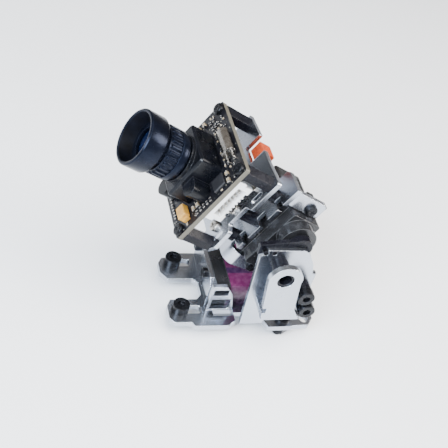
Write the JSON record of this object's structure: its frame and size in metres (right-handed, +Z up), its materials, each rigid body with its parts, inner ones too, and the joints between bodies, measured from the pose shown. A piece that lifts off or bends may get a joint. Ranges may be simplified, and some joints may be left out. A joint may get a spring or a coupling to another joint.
{
  "type": "camera gimbal",
  "caption": "Servo-driven roll and tilt camera gimbal: slotted aluminium base, roll frame, and a lens-up board camera on standoffs.",
  "frame": {"origin": "underside of the base plate, directly below the roll axis", "axes": "+Z up from the base, +X along the roll axis away from the lens side, +Y from the front cheek towards the back"},
  "size_m": [0.0693, 0.0507, 0.0666],
  "materials": {
    "satin_aluminium": "satin",
    "black_steel": "satin",
    "smoked_plastic": "semi-gloss",
    "servo_label": "gloss",
    "motor_can": "satin",
    "green_board": "satin",
    "black_board": "satin",
    "horn_plastic": "matte",
    "shaft_brass": "satin",
    "lens_black": "satin",
    "holder_plastic": "matte",
    "lens_glass": "coated",
    "sensor_silicon": "gloss",
    "connector_white": "matte",
    "bright_metal": "polished",
    "tantalum_orange": "satin",
    "orange_foam": "matte",
    "ceramic_tan": "satin",
    "chip_black": "matte"
  },
  "bodies": {
    "base": {"base_plate": "satin_aluminium", "base_screws": "black_steel", "base_nuts": "black_steel", "roll_servo_bottom": "smoked_plastic", "roll_servo_case": "smoked_plastic", "roll_servo_gearbox": "smoked_plastic", "roll_servo_motor": "motor_can", "roll_servo_board": "green_board", "roll_servo_screws": "black_steel", "roll_servo_label": "servo_label"},
    "roll_frame": {"roll_servo_shaft": "shaft_brass", "roll_plate": "satin_aluminium", "front_cheek": "satin_aluminium", "cheek_bushing": "horn_plastic", "cheek_screw": "black_steel", "roll_bracket": "satin_aluminium", "bracket_sleeves": "horn_plastic", "bracket_screws": "black_steel", "roll_horn": "horn_plastic", "roll_horn_screw": "black_steel", "tilt_horn": "horn_plastic", "tilt_horn_screw": "black_steel", "horn_fixing_screws": "black_steel", "tilt_servo_shaft": "shaft_brass"},
    "camera_stage": {"board_screws": "black_steel", "cable_pad": "orange_foam", "camera_board": "black_board", "camera_plate": "satin_aluminium", "ceramic_capacitors": "ceramic_tan", "chip_legs": "bright_metal", "connector_pins": "bright_metal", "connector_shell": "connector_white", "crystal_can": "bright_metal", "crystal_leads": "bright_metal", "ear_nuts": "black_steel", "ear_screws": "black_steel", "holder_screws": "black_steel", "image_sensor": "sensor_silicon", "lens_holder": "holder_plastic", "memory_chip": "chip_black", "plate_spacers": "horn_plastic", "resistors": "chip_black", "servo_bracket": "satin_aluminium", "spacer_nuts": "black_steel", "spacer_screws": "bright_metal", "standoff_screws": "black_steel", "standoffs": "horn_plastic", "tantalum_capacitor": "tantalum_orange", "tilt_servo_board": "green_board", "tilt_servo_bottom": "smoked_plastic", "tilt_servo_case": "smoked_plastic", "tilt_servo_gearbox": "smoked_plastic", "tilt_servo_motor": "motor_can", "video_chip": "chip_black"},
    "lens": {"lens_barrel": "lens_black", "focus_ring": "lens_black", "lens_hood": "lens_black", "retaining_ring": "lens_black", "front_glass": "lens_glass", "rear_glass": "lens_glass"}
  },
  "joints": [
    {"name": "roll", "type": "hinge", "parent": "base", "child": "roll_frame", "pos_m": [0, 0, 0.0068], "axis": [1, 0, 0], "range_deg": [-18, 18]},
    {"name": "tilt", "type": "hinge", "parent": "roll_frame", "child": "camera_stage", "pos_m": [0.008, 0, 0.0355], "axis": [0, 1, 0], "range_deg": [-16, 50]},
    {"name": "focus", "type": "hinge", "parent": "camera_stage", "child": "lens", "pos_m": [-0.02893, 0.014, 0.04755], "axis": [-0.8926, 0, 0.4509], "range_deg": [-180, 180]}
  ]
}
